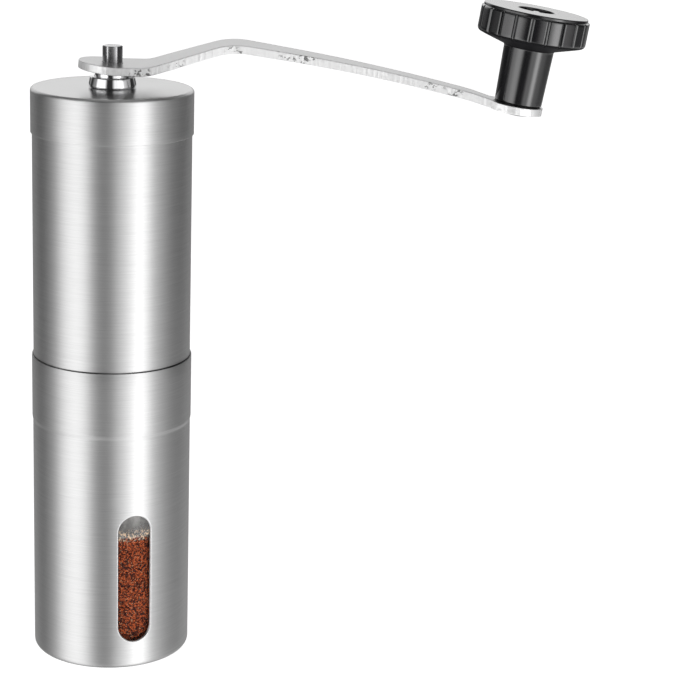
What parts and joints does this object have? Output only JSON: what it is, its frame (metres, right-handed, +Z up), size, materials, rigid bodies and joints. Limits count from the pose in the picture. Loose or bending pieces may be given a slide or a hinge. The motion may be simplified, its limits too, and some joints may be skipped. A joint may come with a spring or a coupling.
{
  "type": "hand crank coffee grinder",
  "caption": "Slim cylindrical hand coffee grinder in brushed steel, with a windowed catch cup, a lid, a bent crank with a turning black knob, and ceramic burrs inside.",
  "frame": {"origin": "centre of the catch cup's flat bottom, on the body's axis", "axes": "+Z up along the body's axis, +X along the crank from the shaft to the knob at rest"},
  "size_m": [0.1666, 0.049, 0.2059],
  "materials": {
    "brushed_steel": "brushed round the body",
    "satin_lid": "satin",
    "crank_steel": "satin face, bright edges",
    "bright_chrome": "polished",
    "plain_steel": "turned",
    "knob_black": "gloss",
    "black_plastic": "moulded, matt",
    "bearing_plastic": "smooth",
    "clear_plastic": "clear, gloss",
    "ceramic": "fired, matt",
    "seal_rubber": "matt"
  },
  "bodies": {
    "catch_cup": {"catch_cup_shell": "brushed_steel", "catch_liner": "clear_plastic"},
    "grinder_body": {"upper_tube": "brushed_steel", "burr_housing": "black_plastic", "outer_burr": "ceramic", "burr_retainer": "black_plastic", "retainer_screws": "plain_steel", "bearing_bracket": "black_plastic", "bracket_screws": "plain_steel", "bracket_bush": "bearing_plastic", "spring_washer": "plain_steel", "thrust_washer": "plain_steel"},
    "shaft": {"drive_shaft": "plain_steel", "shaft_collar": "bright_chrome", "thrust_clip": "plain_steel"},
    "inner_burr": {"inner_burr": "ceramic", "burr_core": "black_plastic", "burr_spring": "plain_steel"},
    "adjuster": {"adjuster_dial": "black_plastic", "adjuster_nut": "plain_steel"},
    "crank": {"crank_arm": "crank_steel", "knob_pin": "bright_chrome", "knob_washer": "black_plastic"},
    "knob": {"knob_grip": "knob_black"},
    "lid": {"lid_cap": "satin_lid", "lid_gasket": "seal_rubber", "lid_eyelet": "bright_chrome"}
  },
  "joints": [
    {"name": "body_lift", "type": "slide", "parent": "catch_cup", "child": "grinder_body", "axis": [0, 0, 1], "range_m": [0, 0.06]},
    {"name": "crank_turn", "type": "hinge", "parent": "grinder_body", "child": "shaft", "pos_m": [0, 0, 0.18245], "axis": [0, 0, 1], "continuous": true},
    {"name": "adjuster_turn", "type": "hinge", "parent": "inner_burr", "child": "adjuster", "pos_m": [0, 0, 0.0755], "axis": [0, 0, 1], "range_deg": [-360, 90]},
    {"name": "burr_shift", "type": "slide", "parent": "shaft", "child": "inner_burr", "axis": [0, 0, 1], "range_m": [-0.00105, 0.0003], "deforming": ["burr_spring"]},
    {"name": "crank_lift", "type": "slide", "parent": "shaft", "child": "crank", "axis": [0, 0, 1], "range_m": [0, 0.06]},
    {"name": "lid_lift", "type": "slide", "parent": "grinder_body", "child": "lid", "axis": [0, 0, 1], "range_m": [0, 0.035]},
    {"name": "knob_spin", "type": "hinge", "parent": "crank", "child": "knob", "pos_m": [0.1219, 0, 0.17543], "axis": [0.1478, 0, 0.989], "continuous": true}
  ],
  "couplings": [
    {"joint": "burr_shift", "follows": "adjuster_turn", "m_per_rad": 0.00015915},
    {"joint": "lid_lift", "follows": "crank_lift", "ratio": 0.5}
  ]
}
